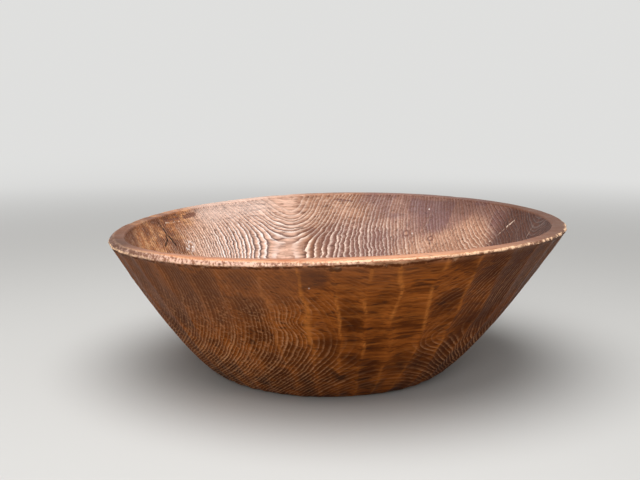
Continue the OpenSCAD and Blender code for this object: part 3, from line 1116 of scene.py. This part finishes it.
def oiled_wood(finish):
    """Old waxed wood: growth rings of the log, fibres, stains, rubbed ridges, worn rim, small marks, and
    painted shade, sheen and highlights.
    """
    material = bpy.data.materials.new("bowl_wood")
    bench = FinishBench(material)
    wood = log_wood(bench)
    grow_rings(bench, wood, finish)
    stain_hollow(bench, wood)
    x, inside, rim, wobble = wood.x, wood.inside, wood.rim, wood.wobble

    # Rim, dull at both ends, and the back of its top coloured as the hollow
    left_end = bench.step(-x + wobble * 0.3, 0.166, 0.226)
    right_end = bench.step(x + wobble * 0.3, 0.000, 0.205)
    tip = bench.step(-x + wood.y * 0.3 + wobble * 0.3, 0.190, 0.218)
    wood.dull = bench.most(left_end, right_end * 0.85, tip * 0.9)
    back = bench.step(wood.y + (wood.cloud - 0.5) * 0.10, -0.02, 0.08)
    bowl = Layers(bench, outside_wood(bench, wood, finish))
    bowl.lay(bench.most(inside, rim * back), hollow_wood(bench, wood, finish))
    bowl.lay(rim * (1 - 0.8 * back), rim_wood(bench, wood, finish))
    wear_rim(bench, wood, finish, bowl)
    bowl.lay(wood.pore * 0.5, finish.crack_colour)
    mark_cracks(bench, wood, finish, bowl)
    mark_hollow(bench, wood, finish, bowl)
    mark_outside(bench, wood, finish, bowl)

    # Raised grain, and wax where hands and dough have polished the wood
    fine, late, cut, worn = wood.fine, wood.late, wood.cut, wood.worn
    height = (late - wood.groove * 0.6) * cut * (0.25 + 0.75 * inside) * (finish.relief * 1000)
    height = height * (1 - 0.8 * rim) + (fine - wood.streak) * 0.05
    height = height - wood.pore * 0.06 - wood.crack * inside * 0.5 - wood.dents * 0.35
    bump = bench.node("ShaderNodeBump", None, {"Strength": 1.0, "Distance": 0.001, "Height": height})
    roughness = 0.52 - 0.10 * inside + (wood.blotch - 0.5) * 0.22 + (fine - 0.5) * 0.08
    roughness = roughness - 0.10 * late * cut + 0.18 * worn
    polish = inside * (1 - 0.5 * wood.purple) * (1 - 0.7 * wood.orange) * (0.12 + 0.88 * late * cut)
    wax = bench.most(polish, rim * (1 - wood.dull) * 0.35) * (1 - 0.7 * worn)
    shader = bench.node(
        "ShaderNodeBsdfPrincipled",
        None,
        {
            "Base Color": bowl.colour,
            "Roughness": roughness,
            "Normal": bump,
            "Specular IOR Level": 0.05,
            "Coat Weight": wax,
            "Coat Roughness": 0.28,
        },
    )
    bench.node("ShaderNodeOutputMaterial", None, {"Surface": shader})
    return material


def seen_directly(bench):
    """1 where a thing is seen itself, reflected or through glass, and 0 where it only lights others."""
    camera = bench.node("ShaderNodeLightPath", output="Is Camera Ray")
    return bench.most(camera, camera.beside("Is Glossy Ray"), camera.beside("Is Transmission Ray"))


def pale_paper(studio):
    """Floor and backdrop: pale to the camera and in reflections, a middle grey to what they light."""
    material = bpy.data.materials.new("studio_paper")
    bench = FinishBench(material)
    seen = seen_directly(bench)
    colour = bench.mixed(seen, studio.bounce_colour, studio.floor_colour)
    paper = bench.node("ShaderNodeBsdfDiffuse", None, {"Color": colour})
    place = bench.node("ShaderNodeTexCoord", output="Object")
    far = bench.step(bench.from_point(place, NEAR_POINT), BACKDROP_FROM, BACKDROP_FULL)
    backdrop = {"Color": tuple(studio.backdrop_colour) + (1.0,), "Strength": 1.0}
    glow = bench.node("ShaderNodeEmission", None, backdrop)
    shader = bench.node("ShaderNodeMixShader", None, {0: far * seen, 1: paper, 2: glow})
    bench.node("ShaderNodeOutputMaterial", None, {"Surface": shader})
    return material


def studio_air(studio):
    """World: an even light all round, which looks like the backdrop to the camera."""
    world = bpy.data.worlds.new("studio_air")
    bench = FinishBench(world)
    colour = bench.mixed(seen_directly(bench), (studio.surround,) * 3, studio.backdrop_colour)
    air = bench.node("ShaderNodeBackground", None, {"Color": colour, "Strength": 1.0})
    bench.node("ShaderNodeOutputWorld", None, {"Surface": air})
    return world


class DOUGHBOWL_OT_carve(bpy.types.Operator):
    """Carve the bowl from one piece and finish its wood"""

    bl_idname = "dough_bowl.carve"
    bl_label = "Carve Bowl"

    def execute(self, context):
        sizes = context.scene.dough_bowl_sizes
        finish = context.scene.dough_bowl_finish
        mesh = turned_blank(sizes)
        carve(mesh, sizes, finish)
        mesh.materials.append(oiled_wood(finish))
        bowl = bpy.data.objects.new("bowl_carved", mesh)
        context.scene.collection.objects.link(bowl)
        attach(bowl, "root")
        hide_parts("bowl")
        return {"FINISHED"}


class DOUGHBOWL_OT_studio(bpy.types.Operator):
    """Set up the floor, backdrop, lamps and camera"""

    bl_idname = "dough_bowl.studio"
    bl_label = "Set Up Studio"

    def execute(self, context):
        studio = context.scene.dough_bowl_studio
        self.lay_paper(context, studio)
        self.hang_lamps(context, studio)
        self.place_camera(context, studio)
        context.scene.world = studio_air(studio)
        return {"FINISHED"}

    def lay_paper(self, context, studio):
        """Sweeps a bent line sideways into one sheet of paper."""
        sweep = bmesh.new()
        line = [sweep.verts.new((-PAPER_REACH, y, z)) for y, z in PAPER_LINE]
        for pair in zip(line, line[1:]):
            sweep.edges.new(pair)
        bmesh.ops.bevel(
            sweep,
            geom=line[1:-1],
            affect="VERTICES",
            offset=PAPER_BEND,
            offset_type="OFFSET",
            segments=PAPER_BEND_STEPS,
            profile=0.5,
            material=-1,
        )
        drawn = bmesh.ops.extrude_edge_only(sweep, edges=sweep.edges[:])["geom"]
        far_side = [part for part in drawn if isinstance(part, bmesh.types.BMVert)]
        bmesh.ops.translate(sweep, verts=far_side, vec=(2 * PAPER_REACH, 0, 0))
        bmesh.ops.recalc_face_normals(sweep, faces=sweep.faces[:])
        mesh = smooth_shaded(sweep, "paper_sweep")
        mesh.materials.append(pale_paper(studio))
        paper = bpy.data.objects.new("paper_sweep", mesh)
        context.scene.collection.objects.link(paper)

    def hang_lamps(self, context, studio):
        """Hangs the round lamps, aimed at the bowl."""
        for name, place, width in LAMPS:
            lamp = bpy.data.lights.new(name, "AREA")
            lamp.shape = "DISK"
            lamp.size = width
            lamp.energy = getattr(studio, name)
            holder = bpy.data.objects.new(name, lamp)
            holder.location = place
            holder.rotation_euler = (Vector(LAMP_AIM) - Vector(place)).to_track_quat("-Z", "Y").to_euler()
            context.scene.collection.objects.link(holder)

    def place_camera(self, context, studio):
        """Stands the camera in front of the bowl and to its left."""
        camera = bpy.data.objects.new("studio_camera", bpy.data.cameras.new("studio_camera"))
        camera.data.sensor_width = SENSOR_WIDTH
        camera.data.lens = studio.lens
        camera.data.clip_start = CLIP_START
        turn = Matrix.Rotation(-CAMERA_TURN, 4, "Z")
        pitch = Matrix.Rotation(math.pi / 2 - CAMERA_PITCH, 4, "X")
        roll = Matrix.Rotation(CAMERA_ROLL, 4, "Z")
        camera.matrix_world = Matrix.Translation(CAMERA_PLACE) @ turn @ pitch @ roll
        context.scene.collection.objects.link(camera)
        context.scene.camera = camera


class DOUGHBOWL_PT_panel(bpy.types.Panel):
    """Steps that make the dough bowl, and its sizes and colours"""

    bl_idname = "DOUGHBOWL_PT_panel"
    bl_label = "Dough Bowl"
    bl_space_type = "VIEW_3D"
    bl_region_type = "UI"
    bl_category = "Dough Bowl"

    def draw(self, context):
        for step, groups in STEPS:
            self.layout.operator(step.bl_idname)
            for name in groups:
                settings = getattr(context.scene, name)
                for field in settings.__annotations__:
                    self.layout.prop(settings, field)


STEPS = (
    (DOUGHBOWL_OT_carve, ("dough_bowl_sizes", "dough_bowl_finish")),
    (DOUGHBOWL_OT_studio, ("dough_bowl_studio",)),
)
GROUPS = (
    ("dough_bowl_sizes", BowlSizes),
    ("dough_bowl_finish", WoodFinish),
    ("dough_bowl_studio", StudioSettings),
)
CLASSES = tuple(group for _, group in GROUPS) + tuple(step for step, _ in STEPS) + (DOUGHBOWL_PT_panel,)


def register():
    for made in CLASSES:
        bpy.utils.register_class(made)
    for name, group in GROUPS:
        setattr(bpy.types.Scene, name, PointerProperty(type=group))


def unregister():
    for name, _ in GROUPS:
        delattr(bpy.types.Scene, name)
    for made in reversed(CLASSES):
        bpy.utils.unregister_class(made)


def main():
    """Makes the bowl and the studio."""
    register()
    bpy.context.scene.view_settings.view_transform = "Standard"
    bpy.ops.dough_bowl.carve()
    bpy.ops.dough_bowl.studio()


if __name__ == "__main__":
    main()
